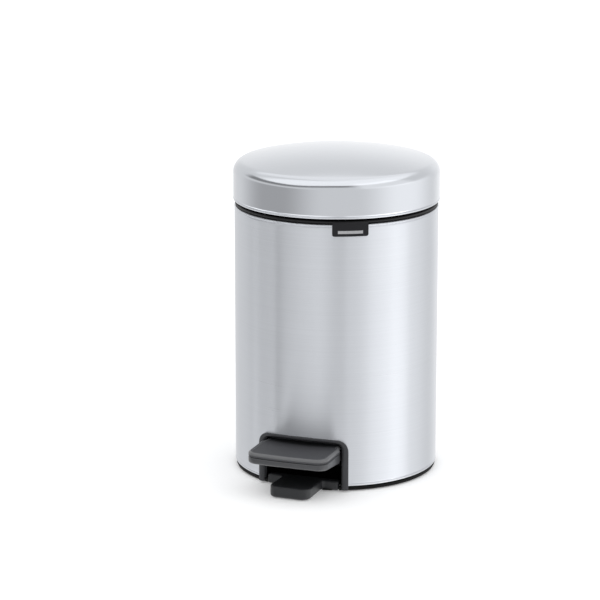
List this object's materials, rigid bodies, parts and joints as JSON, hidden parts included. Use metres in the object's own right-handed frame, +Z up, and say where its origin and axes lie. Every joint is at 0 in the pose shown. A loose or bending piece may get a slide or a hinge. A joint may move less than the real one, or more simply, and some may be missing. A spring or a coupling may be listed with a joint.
{
  "type": "pedal trash can",
  "caption": "Round pedal bin: brushed steel cylinder on a black base, domed hinged lid opened by a front pedal through a lever and push rod, with a lift-out bucket.",
  "frame": {"origin": "middle of the footprint on the floor, between the pedal's front edge and the hinge cover's rear face", "axes": "+Z up along the cylinder, -Y towards the pedal (front), +X to the right of a person who faces +Y from the pedal's side"},
  "size_m": [0.172, 0.2234, 0.2712],
  "materials": {
    "body_steel": "horizontally brushed stainless steel",
    "lid_steel": "satin stainless steel",
    "zinc_hardware": "bright zinc-plated steel",
    "black_plastic": "fine matt black moulded plastic",
    "grey_plastic": "satin dark grey moulded plastic",
    "bucket_plastic": "matt black moulded plastic",
    "tag_plastic": "smooth black plastic",
    "rubber": "matt black rubber"
  },
  "bodies": {
    "bin": {"outer_shell": "body_steel", "base": "black_plastic", "pivot_bracket_left": "black_plastic", "pivot_bracket_right": "black_plastic", "bucket_peg_1": "black_plastic", "bucket_peg_2": "black_plastic", "bucket_peg_3": "black_plastic", "bucket_peg_4": "black_plastic", "rubber_foot_1": "rubber", "rubber_foot_2": "rubber", "rubber_foot_3": "rubber", "rubber_foot_4": "rubber", "pedal_frame": "grey_plastic", "anti_tip_foot": "grey_plastic", "top_ring": "black_plastic", "ring_bumper_left": "rubber", "ring_bumper_right": "rubber", "name_tag": "tag_plastic", "hinge_housing": "black_plastic", "hinge_cover": "black_plastic", "hinge_pin": "zinc_hardware", "hinge_screw_left": "zinc_hardware", "hinge_screw_right": "zinc_hardware", "rod_guide": "black_plastic", "damper_cylinder": "black_plastic", "pedal_axle": "zinc_hardware", "axle_clip_left": "zinc_hardware", "axle_clip_right": "zinc_hardware"},
    "pedal": {"pedal_body": "grey_plastic", "pedal_pad": "grey_plastic", "pedal_lever": "zinc_hardware", "pedal_rivet_left": "zinc_hardware", "pedal_rivet_right": "zinc_hardware"},
    "rod": {"push_rod": "zinc_hardware", "rod_head": "black_plastic", "rod_foot": "black_plastic", "damper_link": "black_plastic", "damper_piston": "zinc_hardware"},
    "lid": {"lid_shell": "lid_steel", "lid_liner": "black_plastic", "lid_hinge_arm": "black_plastic", "lid_screw_left": "zinc_hardware", "lid_screw_right": "zinc_hardware"},
    "bucket": {"inner_bucket": "bucket_plastic"},
    "bail": {"bucket_handle": "zinc_hardware", "handle_grip": "grey_plastic"}
  },
  "joints": [
    {"name": "lid_hinge", "type": "hinge", "parent": "bin", "child": "lid", "pos_m": [0, 0.10375, 0.222], "axis": [-1, 0, 0], "range_deg": [0, 78]},
    {"name": "pedal_press", "type": "hinge", "parent": "bin", "child": "pedal", "pos_m": [0, -0.01025, 0.011], "axis": [1, 0, 0], "range_deg": [0, 11]},
    {"name": "rod_slide", "type": "slide", "parent": "bin", "child": "rod", "axis": [0, 0, 1], "range_m": [0, 0.0187]},
    {"name": "bucket_lift", "type": "slide", "parent": "bin", "child": "bucket", "axis": [0, 0, 1], "range_m": [0, 0.018]},
    {"name": "bail_swing", "type": "hinge", "parent": "bucket", "child": "bail", "pos_m": [0, 0.00975, 0.206], "axis": [-1, 0, 0], "range_deg": [0, 20]}
  ],
  "couplings": [
    {"joint": "pedal_press", "follows": "lid_hinge", "ratio": 0.141},
    {"joint": "rod_slide", "follows": "lid_hinge", "m_per_rad": 0.01372}
  ]
}
